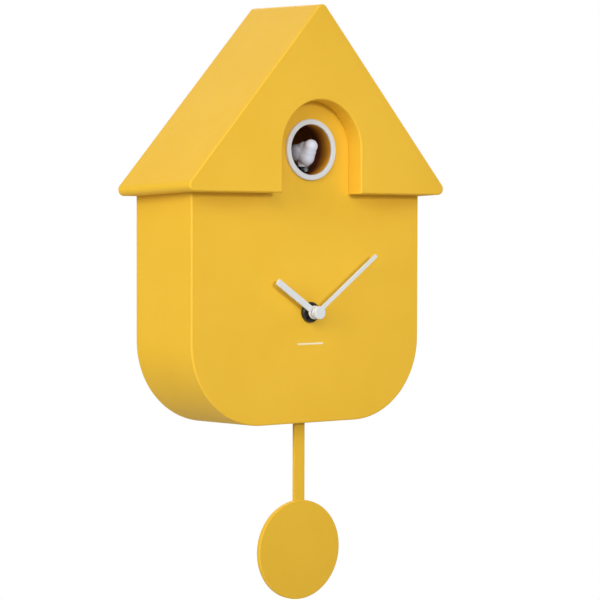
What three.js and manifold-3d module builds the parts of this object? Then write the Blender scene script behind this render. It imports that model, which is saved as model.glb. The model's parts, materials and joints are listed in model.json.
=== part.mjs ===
// A wall-hung cuckoo clock in moulded plastic: a gabled roof shell over a house-shaped body, a porthole
// with a sliding bird, a quartz movement with two hands, and a swinging pendulum below.
//
// Millimetres, +Z up. The wall is the plane Y = 0 and the clock faces -Y.
// The origin is the seat of the hanging slot, on the wall plane, in the middle of the clock.
import * as THREE from "three";
import { mergeVertices } from "three/addons/utils/BufferGeometryUtils.js";
import Module from "manifold-3d";

const wasm = await Module();
wasm.setup();

// ---------------------------------------------------------------- driving dimensions
const GAP = 0.3; // between pieces that touch or fit into each other
const WALL = 2.5; // shell thickness of the roof and the body
const EAVE_Z = -50; // underside of the eaves

const ROOF = { width: 224, height: 129, depth: 79.6, ridge: 4.5, eave: 4.2, draft: 2.4 };
const BODY = { width: 192.2, drop: 156.1, depth: 65, corner: 56.3, draft: 1.5 };
const ARCH = { width: 66.4, jamb: 2.2 };
const PORTHOLE = { z: EAVE_Z + 29.5, outer: 20.7, inner: 17.1, sleeve: 19.7, tunnel: 17.3, proud: 2.6 };
const DIAL = { z: EAVE_Z - 80.7, minute: 8.8 }; // centre of the hands, and the time shown: 10:09
const MOVEMENT = { size: 56, depth: 16, wall: 1.5 };
const PENDULUM = { y: -53.2, discZ: EAVE_Z - 244.2, discR: 34.1, discT: 3.6, rodW: 8.7, rodT: 2.4 };
const COVER = { thick: 2.4, inset: 0.4 };
const CELL = { r: 7.1, length: 49, tipR: 2.6, tip: 1.4 }; // an AA cell

// Planes along Y that several pieces share.
const ROOF_FRONT = -ROOF.depth;
const BODY_FRONT = -BODY.depth;
const BODY_INSIDE = BODY_FRONT + WALL;
const COVER_FRONT = -COVER.thick;
const MOVEMENT_FRONT = BODY_INSIDE + GAP;
const MOVEMENT_BACK = MOVEMENT_FRONT + MOVEMENT.depth;

// ---------------------------------------------------------------- colours
const COLOURS = {
  yellow: { color: 0xebb62a, roughness: 0.55, metalness: 0 },
  lightGrey: { color: 0xd4d3d1, roughness: 0.5, metalness: 0 },
  birdGrey: { color: 0xc3c9cf, roughness: 0.35, metalness: 0 },
  black: { color: 0x17181a, roughness: 0.45, metalness: 0 },
  charcoal: { color: 0x2b2d30, roughness: 0.6, metalness: 0 },
  whitePlastic: { color: 0xe9e7e0, roughness: 0.4, metalness: 0 },
  brass: { color: 0xc79b4b, roughness: 0.3, metalness: 1 },
  steel: { color: 0xb7bbc0, roughness: 0.3, metalness: 1 },
  copper: { color: 0xb5652f, roughness: 0.35, metalness: 1 },
  board: { color: 0x1d5c38, roughness: 0.5, metalness: 0 },
  paper: { color: 0x33302d, roughness: 0.9, metalness: 0 },
  battery: { color: 0x33628f, roughness: 0.4, metalness: 0 },
  rubber: { color: 0x1b1b1b, roughness: 0.9, metalness: 0 },
};

// ---------------------------------------------------------------- solids and booleans
function solid(geometry) {
  const g = geometry.index ? geometry.toNonIndexed() : geometry.clone();
  g.deleteAttribute("normal");
  g.deleteAttribute("uv");
  const merged = mergeVertices(g, 1e-4);
  return new wasm.Manifold(
    new wasm.Mesh({
      numProp: 3,
      vertProperties: merged.attributes.position.array,
      triVerts: new Uint32Array(merged.index.array),
    }),
  );
}

function geometryOf(manifold) {
  const m = manifold.getMesh();
  return new THREE.BufferGeometry()
    .setAttribute("position", new THREE.BufferAttribute(m.vertProperties, 3))
    .setIndex(new THREE.BufferAttribute(m.triVerts, 1));
}

const join = (...parts) => parts.map(asSolid).reduce((a, b) => a.add(b));
const cut = (base, ...tools) => tools.map(asSolid).reduce((a, b) => a.subtract(b), asSolid(base));
function asSolid(part) {
  return part.isBufferGeometry ? solid(part) : part;
}

// A box from its lowest to its highest corner.
function box(x0, x1, y0, y1, z0, z1) {
  return new THREE.BoxGeometry(x1 - x0, y1 - y0, z1 - z0).translate(
    (x0 + x1) / 2,
    (y0 + y1) / 2,
    (z0 + z1) / 2,
  );
}

// Cylinders along each axis, between two planes.
function rodY(r, y0, y1, x, z, sides = 24) {
  return new THREE.CylinderGeometry(r, r, y1 - y0, sides).translate(x, (y0 + y1) / 2, z);
}
function rodX(r, x0, x1, y, z, sides = 24) {
  return new THREE.CylinderGeometry(r, r, x1 - x0, sides)
    .rotateZ(Math.PI / 2)
    .translate((x0 + x1) / 2, y, z);
}
function rodZ(r, z0, z1, x, y, sides = 24) {
  return new THREE.CylinderGeometry(r, r, z1 - z0, sides)
    .rotateX(Math.PI / 2)
    .translate(x, y, (z0 + z1) / 2);
}

// A tube along Y, closed by its own wall: a lathe profile that closes on itself.
function tubeY(outer, inner, y0, y1, x, z, sides = 32) {
  const profile = [
    [inner, y0],
    [outer, y0],
    [outer, y1],
    [inner, y1],
    [inner, y0],
  ].map(([r, y]) => new THREE.Vector2(r, y));
  return new THREE.LatheGeometry(profile, sides).translate(x, 0, z);
}

// A lathe along Y from a profile of [radius, y] pairs that starts and ends on the axis, or closes.
function turned(profile, x, z, sides = 32) {
  return new THREE.LatheGeometry(
    profile.map(([r, y]) => new THREE.Vector2(r, y)),
    sides,
  ).translate(x, 0, z);
}

// A shape drawn in X and Z, extruded along Y between two planes.
function plate(shape, y0, y1, curveSegments = 12) {
  return new THREE.ExtrudeGeometry(shape, { depth: y1 - y0, bevelEnabled: false, curveSegments })
    .rotateX(Math.PI / 2)
    .translate(0, y1, 0);
}

// A solid between two convex outlines of as many points, the front one at y0 and the back one at y1.
function lofted(front, back, y0, y1) {
  const n = front.length;
  const position = [...front.map((v) => [v.x, y0, v.y]), ...back.map((v) => [v.x, y1, v.y])];
  const index = [];
  THREE.ShapeUtils.triangulateShape(front, []).forEach(([i, j, k]) => {
    index.push(i, j, k, n + i, n + k, n + j);
  });
  for (let i = 0; i < n; i += 1) {
    const j = (i + 1) % n;
    index.push(i, n + i, n + j, i, n + j, j);
  }
  return new THREE.BufferGeometry()
    .setAttribute("position", new THREE.Float32BufferAttribute(position.flat(), 3))
    .setIndex(index);
}

// A plate whose convex outline is offset outwards by `draft` at y1, as a mould needs.
function draftedPlate(corners, y0, y1, draft, steps) {
  return lofted(roundedOutline(corners, 0, steps), roundedOutline(corners, draft, steps), y0, y1);
}

// ---------------------------------------------------------------- outlines
// A polygon with every corner rounded to its own radius, moved outwards by `grow` on every side.
// Corners are [x, z, radius], anticlockwise.
function roundedOutline(corners, grow, steps) {
  const n = corners.length; // small corners take a third of the steps
  return corners.flatMap(([x, z, r], i) => {
    const here = new THREE.Vector2(x, z);
    const back = new THREE.Vector2(...corners[(i + n - 1) % n].slice(0, 2)).sub(here).normalize();
    const ahead = new THREE.Vector2(...corners[(i + 1) % n].slice(0, 2)).sub(here).normalize();
    const half = Math.acos(THREE.MathUtils.clamp(back.dot(ahead), -1, 1)) / 2;
    const inwards = back.clone().add(ahead).normalize();
    const centre = here.clone().addScaledVector(inwards, r / Math.sin(half));
    const middle = Math.atan2(-inwards.y, -inwards.x);
    const sweep = Math.PI / 2 - half;
    const parts = r < 10 ? Math.ceil(steps / 3) : steps;
    return Array.from({ length: parts + 1 }, (_, k) => {
      const a = middle + sweep * ((2 * k) / parts - 1);
      return centre.clone().add(new THREE.Vector2(Math.cos(a), Math.sin(a)).multiplyScalar(r + grow));
    });
  });
}
function roundedShape(corners, steps) {
  return new THREE.Shape(roundedOutline(corners, 0, steps));
}
// The four corners of a rectangle about (x, z).
function rectangle(x, z, halfW, halfH, r) {
  return [
    [x - halfW, z - halfH, r],
    [x + halfW, z - halfH, r],
    [x + halfW, z + halfH, r],
    [x - halfW, z + halfH, r],
  ];
}

// The roof's triangle, moved inwards by `inset` on all three sides, its corner radii reduced by `less`.
const SLOPE = Math.atan2(ROOF.height, ROOF.width / 2);
function roofOutline(inset, less = 0) {
  const halfWidth = ROOF.width / 2 - inset / Math.tan(SLOPE / 2);
  const bottom = EAVE_Z + inset;
  const corners = [
    [-halfWidth, bottom, ROOF.eave - less],
    [halfWidth, bottom, ROOF.eave - less],
    [0, bottom + halfWidth * Math.tan(SLOPE), ROOF.ridge - less],
  ];
  return roundedOutline(corners, 0, 15);
}

// The body's outline: upright sides, round lower corners, and a gable top that fits inside the roof.
const BODY_BOTTOM = EAVE_Z - BODY.drop;
const GABLE_GAP = WALL + 1; // from the roof's outside to the body's gable
function bodyCorners(inset) {
  const halfWidth = BODY.width / 2 - inset;
  const bottom = BODY_BOTTOM + inset;
  const apex = EAVE_Z + ROOF.height - (GABLE_GAP + inset) / Math.cos(SLOPE);
  const shoulder = apex - halfWidth * Math.tan(SLOPE);
  return [
    [-halfWidth, bottom, BODY.corner - inset],
    [halfWidth, bottom, BODY.corner - inset],
    [halfWidth, shoulder, 1],
    [0, apex, 3],
    [-halfWidth, shoulder, 1],
  ];
}

// The arch in the roof's front, concentric with the porthole, with its opening run below the eaves.
function archShape(halfWidth, foot) {
  const shape = new THREE.Shape();
  shape.moveTo(-halfWidth, foot);
  shape.lineTo(halfWidth, foot);
  shape.lineTo(halfWidth, PORTHOLE.z);
  shape.absarc(0, PORTHOLE.z, halfWidth, 0, Math.PI, false);
  shape.closePath();
  return shape;
}

// ---------------------------------------------------------------- gears
// An involute gear in the XZ plane, extruded along Y. `turn` is the angle of one tooth's middle.
// The teeth are thinned by `slack` at the pitch circle, so that a pair runs with backlash.
const PRESSURE = THREE.MathUtils.degToRad(20);
function gearShape(teeth, module, turn, slack = 0.1, addendum = 0.9) {
  const pitch = (teeth * module) / 2;
  const base = pitch * Math.cos(PRESSURE);
  const tip = pitch + addendum * module;
  const root = pitch - 1.15 * module;
  const involute = (r) => {
    const a = Math.acos(Math.min(1, base / r));
    return Math.tan(a) - a;
  };
  const halfAtPitch = Math.PI / (2 * teeth) - slack / (2 * pitch);
  const half = (r) => halfAtPitch + involute(pitch) - involute(Math.max(r, base));
  const radii = [root, tip];
  const points = [];
  for (let i = 0; i < teeth; i += 1) {
    const middle = turn + (i * 2 * Math.PI) / teeth;
    radii.forEach((r) => points.push([r, middle - half(r)]));
    [...radii].reverse().forEach((r) => points.push([r, middle + half(r)]));
  }
  return new THREE.Shape(points.map(([r, a]) => new THREE.Vector2(r * Math.cos(a), r * Math.sin(a))));
}
// A gear about an axis along Y at (x, z).
function gearY(teeth, module, turn, y0, y1, x, z, slack) {
  return plate(gearShape(teeth, module, turn, slack), y0, y1).translate(x, 0, z);
}
// A gear about an axis along X at (y, z): angle 0 of its shape points along +Y.
function gearX(teeth, module, turn, x0, x1, y, z, slack) {
  return new THREE.ExtrudeGeometry(gearShape(teeth, module, turn, slack), {
    depth: x1 - x0,
    bevelEnabled: false,
  })
    .rotateY(Math.PI / 2)
    .rotateX(Math.PI / 2)
    .translate(x0, y, z);
}

// ---------------------------------------------------------------- the group and its materials
const clock = new THREE.Group();
const materials = Object.fromEntries(
  Object.entries(COLOURS).map(([name, look]) => [name, new THREE.MeshStandardMaterial(look)]),
);
function add(name, part, colour) {
  const geometry = part.isBufferGeometry ? part : geometryOf(part);
  const mesh = new THREE.Mesh(geometry, materials[colour]);
  mesh.name = name;
  clock.add(mesh);
}

// ---------------------------------------------------------------- fasteners
// A pan-head screw along Y, its head towards `side` (+1 is the wall). The cross is cut into the head.
function screwY(x, z, headY, side, shankR, length) {
  const headR = shankR * 1.9;
  const headH = shankR * 0.8;
  const head = rodY(headR, ...ordered(headY, headY + side * headH), x, z, 14);
  const shank = rodY(shankR, ...ordered(headY + side * 0.1, headY - side * length), x, z, 8);
  const slotY = ordered(headY + side * headH * 0.45, headY + side * (headH + 1));
  const arm = headR * 0.7;
  return cut(
    join(head, shank),
    box(x - arm, x + arm, ...slotY, z - 0.3, z + 0.3),
    box(x - 0.3, x + 0.3, ...slotY, z - arm, z + arm),
  );
}
function ordered(a, b) {
  return a < b ? [a, b] : [b, a];
}

const COVER_SCREWS = [
  [-72, EAVE_Z - 8],
  [72, EAVE_Z - 8],
  [-72, EAVE_Z - 104],
  [72, EAVE_Z - 104],
  [0, EAVE_Z + 92],
];
const SCREW_R = 1.5;
const BOSS_R = 4;
const SINK = 1.3; // depth of the pocket that a cover screw's head sits in

// ---------------------------------------------------------------- casing
const TUNNEL_BACK = -47;
const CHASSIS = { y0: -46, y1: -8, cheek: 6.3, thick: 4, z0: EAVE_Z, z1: PORTHOLE.z - 10.5 };
const FRAME_POSTS = [
  [-26, PORTHOLE.z - 26],
  [26, PORTHOLE.z - 26],
];
const POST_R = 3.5;
const SLOT = { halfWidth: 10, y0: -59.5, y1: -47 }; // the pendulum's way out of the body
const BUSH = { r: 4, bore: 2.8 };

function bodyShell() {
  const outer = draftedPlate(bodyCorners(0), BODY_FRONT, 0, BODY.draft, 12);
  const inner = draftedPlate(bodyCorners(WALL), BODY_INSIDE, 1, BODY.draft, 12);
  const bosses = COVER_SCREWS.map(([x, z]) =>
    cut(
      rodY(BOSS_R, BODY_FRONT + WALL / 2, COVER_FRONT - GAP, x, z, 12),
      rodY(SCREW_R + 0.15, COVER_FRONT - GAP - 12, 1, x, z, 8),
    ),
  );
  const posts = FRAME_POSTS.map(([x, z]) =>
    cut(
      rodY(POST_R, BODY_FRONT + WALL / 2, CHASSIS.y0 - GAP, x, z, 14),
      rodY(SCREW_R + 0.15, CHASSIS.y0 - 10, CHASSIS.y0 + 2, x, z, 8),
    ),
  );
  return cut(
    join(cut(outer, inner), ...bosses, ...posts),
    rodY(PORTHOLE.sleeve + GAP, BODY_FRONT - 1, BODY_INSIDE + 1, 0, PORTHOLE.z, 40),
    rodY(BUSH.r + GAP, BODY_FRONT - 1, BODY_INSIDE + 1, 0, DIAL.z, 24),
    box(-SLOT.halfWidth, SLOT.halfWidth, SLOT.y0, SLOT.y1, BODY_BOTTOM - 5, BODY_BOTTOM + 12),
  );
}

function roofShell() {
  const outer = lofted(roofOutline(0), roofOutline(-ROOF.draft), ROOF_FRONT, 0);
  const inner = lofted(roofOutline(WALL, 2), roofOutline(WALL - ROOF.draft, 2), ROOF_FRONT + WALL, 1);
  const halfArch = ARCH.width / 2;
  const jambBack = BODY_FRONT - GAP;
  const jamb = plate(archShape(halfArch + ARCH.jamb, EAVE_Z + 0.5), ROOF_FRONT + 1, jambBack, 18);
  const opening = plate(archShape(halfArch, EAVE_Z - 5), ROOF_FRONT - 1, jambBack + 1, 18);
  const bodyWay = draftedPlate(bodyCorners(-GAP), BODY_FRONT - GAP, 1, BODY.draft, 12);
  return cut(join(cut(outer, inner), jamb), opening, bodyWay);
}

const WINDOW = 31; // half the opening in the rear cover behind the movement
const HANGER = { screwZ: 6 };
const KEYHOLE = { slot: 2.6, head: 5.2, drop: 12 };
const SPEAKER = { z: EAVE_Z - 22, r: 18, back: -14 };
const BAY = { x: 62, halfW: 17, z0: EAVE_Z - 90, z1: EAVE_Z - 33, depth: 20, wall: 1.5 };
const SWITCHES = [-62, -50];
const BOARD = { x0: -78, x1: -38, z0: EAVE_Z - 76, z1: EAVE_Z - 36, y: -8.6, thick: 1.5 };
const SWITCH = { z: EAVE_Z - 56, halfW: 1.6, halfH: 2.5, travel: 3 };
const DOOR = { gap: 0.4, axisY: -1.2, axisUp: 1.7, pinR: 0.7 };

// The slot's rounded top is the seat: its highest point is the origin.
function keyholeCut(grow, y0, y1) {
  const { slot, head, drop } = KEYHOLE;
  return join(
    rodY(slot + grow, y0, y1, 0, -slot, 20),
    box(-slot - grow, slot + grow, y0, y1, -slot - drop, -slot),
    rodY(head + grow, y0, y1, 0, -slot - drop, 24),
  );
}

function backCover() {
  const inset = WALL + COVER.inset;
  const grow = BODY.draft * (1 - COVER.thick / BODY.depth);
  const outline = (draft) => roundedOutline(bodyCorners(inset), draft, 12);
  const panel = lofted(outline(grow), outline(BODY.draft), COVER_FRONT, 0);
  const screwHoles = COVER_SCREWS.flatMap(([x, z]) => [
    rodY(SCREW_R + GAP, -10, 5, x, z, 14),
    rodY(SCREW_R * 1.9 + GAP, -SINK - 0.3, 5, x, z, 18),
  ]);
  const grille = [-12, -6, 0, 6, 12].map((dz) => {
    const half = Math.sqrt(SPEAKER.r ** 2 - dz ** 2) - 3;
    return box(-half, half, -10, 5, SPEAKER.z + dz - 1.1, SPEAKER.z + dz + 1.1);
  });
  const w = BAY.wall;
  const [x0, x1] = [BAY.x - BAY.halfW, BAY.x + BAY.halfW];
  const bay = box(x0, x1, -BAY.depth, COVER_FRONT + 1, BAY.z0, BAY.z1);
  const bayHollow = box(x0 + w, x1 - w, -BAY.depth + w, 5, BAY.z0 + w, BAY.z1 - w);
  const posts = boardPosts().map(([x, z]) => rodY(2, BOARD.y + BOARD.thick + GAP, COVER_FRONT + 1, x, z, 12));
  const switchSlots = SWITCHES.map((x) =>
    box(
      x - SWITCH.halfW - GAP,
      x + SWITCH.halfW + GAP,
      -5,
      5,
      SWITCH.z - SWITCH.halfH - SWITCH.travel - GAP,
      SWITCH.z + SWITCH.halfH + SWITCH.travel + GAP,
    ),
  );
  return cut(
    join(panel, bay, ...posts),
    bayHollow,
    rodX(DOOR.pinR + GAP / 2, x0 + 0.3, x1 - 0.3, DOOR.axisY, BAY.z0 + w + DOOR.axisUp, 12),
    ...screwHoles,
    ...grille,
    ...switchSlots,
    ...[-13, 13].map((x) => rodY(1.5, -5, 5, x, HANGER.screwZ, 12)),
    box(-WINDOW, WINDOW, -10, 5, DIAL.z - WINDOW, DIAL.z + WINDOW),
    keyholeCut(2.5, -10, 5),
  );
}
function boardPosts() {
  return [BOARD.x0 + 3, BOARD.x1 - 3].flatMap((x) => [BOARD.z0 + 3, BOARD.z1 - 3].map((z) => [x, z]));
}

// The lid of the bay for the sound's cells, hinged on two pins at its lower edge.
function batteryDoor() {
  const w = BAY.wall + DOOR.gap;
  const [x0, x1] = [BAY.x - BAY.halfW + w, BAY.x + BAY.halfW - w];
  const axisZ = BAY.z0 + BAY.wall + DOOR.axisUp;
  const lid = box(x0, x1, DOOR.axisY - 1, DOOR.axisY + 1, axisZ, BAY.z1 - w);
  const pins = [
    [x0 - 1.2, x0 + 1],
    [x1 - 1, x1 + 1.2],
  ].map(([a, b]) => rodX(DOOR.pinR, a, b, DOOR.axisY, axisZ, 12));
  return cut(
    join(lid, rodX(1, x0, x1, DOOR.axisY, axisZ, 16), ...pins),
    box(BAY.x - 6, BAY.x + 6, DOOR.axisY + 0.2, 5, BAY.z1 - w - 5, BAY.z1),
  );
}

// A steel plate behind the cover takes the hook, so that the clock's weight isn't on thin plastic.
function hangerPlate() {
  const back = COVER_FRONT - GAP;
  return cut(
    plate(roundedShape(rectangle(0, -6, 18, 17, 3), 9), back - 1.5, back),
    keyholeCut(0, -20, 5),
    ...[-13, 13].map((x) => rodY(1.5, -20, 5, x, HANGER.screwZ, 14)),
  );
}
// Its screws come from inside and cut their thread in the cover.
function hangerScrew(x) {
  const plateFront = COVER_FRONT - GAP - 1.5;
  return join(
    rodY(2.6, plateFront - 1.5, plateFront - 0.2, x, HANGER.screwZ, 14),
    rodY(1.2, plateFront - 0.4, -0.4, x, HANGER.screwZ, 12),
  );
}

// A round trim: its flange stands on the body's front, and its sleeve goes through the wall.
function portholeRing() {
  const { outer, inner, sleeve, proud, z } = PORTHOLE;
  const front = BODY_FRONT - proud;
  const lipBack = front + 1.6;
  const sleeveBore = sleeve - 0.9;
  return turned([
    [inner, front + 0.7],
    [inner + 0.7, front],
    [outer - 0.7, front],
    [outer, front + 0.7],
    [outer, BODY_FRONT - GAP],
    [sleeve, BODY_FRONT - GAP],
    [sleeve, BODY_INSIDE + GAP],
    [sleeveBore, BODY_INSIDE + GAP],
    [sleeveBore, lipBack],
    [inner, lipBack],
    [inner, front + 0.7],
  ], 0, z, 40);
}
// The passage behind the trim. It starts inside the trim's sleeve, and a collar rests behind the wall.
function portholeTunnel() {
  const { tunnel, proud, z } = PORTHOLE;
  const front = BODY_FRONT - proud + 1.6 + GAP;
  const collar = BODY_INSIDE + 2 * GAP;
  return join(
    tubeY(tunnel + 1.2, tunnel, front, TUNNEL_BACK, 0, z, 40),
    tubeY(tunnel + 4.7, tunnel, collar, collar + 1.4, 0, z, 40),
  );
}
add("body_shell", bodyShell(), "yellow");
add("roof_shell", roofShell(), "yellow");
add("back_cover", backCover(), "yellow");
add("hanger_plate", hangerPlate(), "steel");
add("porthole_ring", portholeRing(), "lightGrey");
add("porthole_tunnel", portholeTunnel(), "yellow");
COVER_SCREWS.forEach(([x, z], i) => {
  add("cover_screw_" + (i + 1), screwY(x, z, -SINK, 1, SCREW_R, 11), "steel");
});
[-13, 13].forEach((x, i) => {
  add("hanger_screw_" + (i + 1), hangerScrew(x), "steel");
});
add("battery_door", batteryDoor(), "yellow");

// ---------------------------------------------------------------- movement
const HALF_MOVEMENT = MOVEMENT.size / 2;
const MINUTE_ANGLE = Math.PI / 2 - (DIAL.minute * 2 * Math.PI) / 60;
const HOUR_ANGLE = Math.PI / 2 - ((10 + DIAL.minute / 60) * 2 * Math.PI) / 12;
const TRAIN = { module: 0.5, cannon: 10, wheel: 30, pinion: 8, hour: 32, knob: 10 };
const TRAIN_DISTANCE = ((TRAIN.cannon + TRAIN.wheel) * TRAIN.module) / 2;
const HOUR_PLANE = MOVEMENT_FRONT + 2.2; // front face of the hour wheel
const CANNON_PLANE = HOUR_PLANE + 2.6; // front face of the cannon pinion
const WHEEL_X = TRAIN_DISTANCE; // the minute wheel lies beside the centre
const KNOB_DISTANCE = ((TRAIN.wheel + TRAIN.knob) * TRAIN.module) / 2;
const KNOB = { x: WHEEL_X, z: DIAL.z - KNOB_DISTANCE };
const GEAR_T = 1.6;
const HOUR_HAND_Y = BODY_FRONT - 6.9;
const MINUTE_HAND_Y = BODY_FRONT - 10.2;

function movementCase() {
  const h = HALF_MOVEMENT;
  const w = MOVEMENT.wall;
  const back = MOVEMENT_BACK - w - GAP;
  return cut(
    plate(roundedShape(rectangle(0, DIAL.z, h, h, 4), 9), MOVEMENT_FRONT, back),
    box(-h + w, h - w, MOVEMENT_FRONT + w, back + 1, DIAL.z - h + w + 1, DIAL.z + h - w - 1),
    rodY(BUSH.r + 0.05, MOVEMENT_FRONT - 1, MOVEMENT_FRONT + 5, 0, DIAL.z, 24),
    rodY(1.2, MOVEMENT_FRONT + 0.5, MOVEMENT_FRONT + 5, WHEEL_X, DIAL.z, 14),
  );
}

// The rear half, with an open cradle for its cell.
const CRADLE_Z = DIAL.z + 16;
function movementBack() {
  const h = HALF_MOVEMENT;
  const y0 = MOVEMENT_BACK - MOVEMENT.wall;
  const halfH = CELL.r + 1;
  const halfL = CELL.length / 2 + 1.3;
  const cradle = cut(
    box(-halfL - 1.2, halfL + 1.2, y0, MOVEMENT_BACK + 13, CRADLE_Z - halfH - 1, CRADLE_Z + halfH + 1),
    box(-halfL, halfL, MOVEMENT_BACK + 0.4, 0, CRADLE_Z - halfH, CRADLE_Z + halfH),
  );
  return cut(
    join(plate(roundedShape(rectangle(0, DIAL.z, h, h, 4), 9), y0, MOVEMENT_BACK), cradle),
    rodY(2.2, y0 - 1, MOVEMENT_BACK + 1, KNOB.x, KNOB.z, 20),
    rodY(1.2, y0 - 1, y0 + 0.9, WHEEL_X, DIAL.z, 14),
    rodY(1.25, y0 - 1, y0 + 0.9, 0, DIAL.z, 14),
  );
}

// An AA-size cell along X or Z, with its raised contact at the far end.
function cell(alongZ) {
  const half = CELL.length / 2;
  const profile = [
    [0, -half],
    [CELL.r - 0.6, -half],
    [CELL.r, -half + 0.6],
    [CELL.r, half - 0.6],
    [CELL.r - 0.6, half],
    [CELL.tipR, half],
    [CELL.tipR, half + CELL.tip],
    [0, half + CELL.tip],
  ];
  const g = turned(profile, 0, 0, 20);
  return alongZ ? g.rotateX(Math.PI / 2) : g.rotateZ(-Math.PI / 2);
}

function centreBush() {
  return turned([
    [BUSH.bore, BODY_FRONT - 4.6],
    [BUSH.r, BODY_FRONT - 4.6],
    [BUSH.r, MOVEMENT_FRONT + 1.8],
    [BUSH.bore, MOVEMENT_FRONT + 1.8],
    [BUSH.bore, BODY_FRONT - 4.6],
  ], 0, DIAL.z, 24);
}

// The minute wheel and its pinion turn together beside the centre, and join the two hands 12 to 1.
function minuteWheel() {
  const { module: m, wheel, pinion } = TRAIN;
  const tooth = (teeth) => Math.PI + Math.PI / teeth; // a gap faces the centre's tooth
  return join(
    gearY(wheel, m, tooth(wheel), CANNON_PLANE, CANNON_PLANE + GEAR_T, WHEEL_X, DIAL.z, 0.14),
    gearY(pinion, m, tooth(pinion), HOUR_PLANE - 0.1, CANNON_PLANE + 0.2, WHEEL_X, DIAL.z, 0.14),
    rodY(1, HOUR_PLANE - 1.2, MOVEMENT_BACK - MOVEMENT.wall + 0.5, WHEEL_X, DIAL.z, 12),
  );
}
function hourWheel() {
  const { module: m, hour } = TRAIN;
  const bore = 1.95;
  return cut(
    join(
      gearY(hour, m, 0, HOUR_PLANE, HOUR_PLANE + GEAR_T, 0, DIAL.z, 0.14),
      rodY(2.5, BODY_FRONT - 7.2, HOUR_PLANE + 0.5, 0, DIAL.z, 20),
    ),
    rodY(bore, BODY_FRONT - 9, HOUR_PLANE + 9, 0, DIAL.z, 20),
  );
}
function cannonPinion() {
  const { module: m, cannon } = TRAIN;
  return join(
    gearY(cannon, m, 0, CANNON_PLANE, CANNON_PLANE + GEAR_T, 0, DIAL.z, 0.14),
    rodY(1.7, MINUTE_HAND_Y - 0.1, CANNON_PLANE + 0.2, 0, DIAL.z, 18),
    rodY(1.05, CANNON_PLANE, MOVEMENT_BACK - MOVEMENT.wall + 0.5, 0, DIAL.z, 12),
  );
}
function settingKnob() {
  const { module: m, knob } = TRAIN;
  const gripY = MOVEMENT_BACK + 1;
  const flutes = 16;
  const gripShape = new THREE.Shape(
    Array.from({ length: flutes * 2 }, (_, i) => {
      const a = (i * Math.PI) / flutes;
      const r = i % 2 ? 6.2 : 6.8;
      return new THREE.Vector2(r * Math.cos(a), r * Math.sin(a));
    }),
  );
  // The wheel has a tooth right below its centre, so the knob's pinion has a gap at its top.
  const tooth = Math.PI / 2 + Math.PI / knob;
  return join(
    gearY(knob, m, tooth, CANNON_PLANE, CANNON_PLANE + GEAR_T, KNOB.x, KNOB.z, 0.14),
    rodY(1.8, CANNON_PLANE, gripY + 0.2, KNOB.x, KNOB.z, 16),
    plate(gripShape, gripY, gripY + 4).translate(KNOB.x, 0, KNOB.z),
  );
}

// A straight hand with a round hub, pointing at `angle`.
function hand(angle, { length, width, tail, hub, bore, y, thick }) {
  const bar = box(-tail, length, y, y + thick, -width / 2, width / 2);
  const disc = rodY(hub, y + 0.01, y + thick - 0.01, 0, 0, 28);
  const g = cut(join(bar, disc), rodY(bore, y - 1, y + thick + 1, 0, 0, 20));
  return geometryOf(g).rotateY(-angle).translate(0, 0, DIAL.z);
}

add("movement_case", movementCase(), "black");
add("movement_back", movementBack(), "black");
add("centre_bush", centreBush(), "brass");
add("dial_nut", dialNut(), "black");
add("hour_wheel", hourWheel(), "whitePlastic");
add("cannon_pinion", cannonPinion(), "whitePlastic");
add("minute_wheel", minuteWheel(), "whitePlastic");
add("setting_knob", settingKnob(), "whitePlastic");
const HOUR_HAND = { length: 37.6, width: 4.2, tail: 3.5, hub: 4.6, bore: 2.6, y: HOUR_HAND_Y, thick: 1.5 };
const MINUTE_HAND = { length: 63.3, width: 2.5, tail: 3, hub: 4.2, bore: 1.8, y: MINUTE_HAND_Y, thick: 1.4 };
add("hour_hand", hand(HOUR_ANGLE, HOUR_HAND), "lightGrey");
add("minute_hand", hand(MINUTE_ANGLE, MINUTE_HAND), "lightGrey");
add("hand_cap", handCap(), "lightGrey");
add("movement_battery", cell(false).translate(-0.6, MOVEMENT_BACK + CELL.r + 1, CRADLE_Z), "battery");

// The round nut that clamps the movement to the front wall.
function dialNut() {
  const notches = [0, 1, 2, 3].map((i) => {
    const a = (i * Math.PI) / 2 + Math.PI / 4;
    return rodY(1, BODY_FRONT - 5, BODY_FRONT - 1.6, 5.4 * Math.cos(a), DIAL.z + 5.4 * Math.sin(a), 10);
  });
  return cut(
    turned([
      [BUSH.r + 0.1, BODY_FRONT - 3.2],
      [6.3, BODY_FRONT - 3.2],
      [7, BODY_FRONT - 2.4],
      [7, BODY_FRONT - GAP],
      [BUSH.r + 0.1, BODY_FRONT - GAP],
      [BUSH.r + 0.1, BODY_FRONT - 3.2],
    ], 0, DIAL.z, 28),
    ...notches,
  );
}
function handCap() {
  const tip = BODY_FRONT - 12.7;
  return turned([
    [0, tip],
    [3.7, tip],
    [4.4, tip + 0.6],
    [4.4, MINUTE_HAND_Y - GAP],
    [0, MINUTE_HAND_Y - GAP],
  ], 0, DIAL.z, 28);
}

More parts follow.
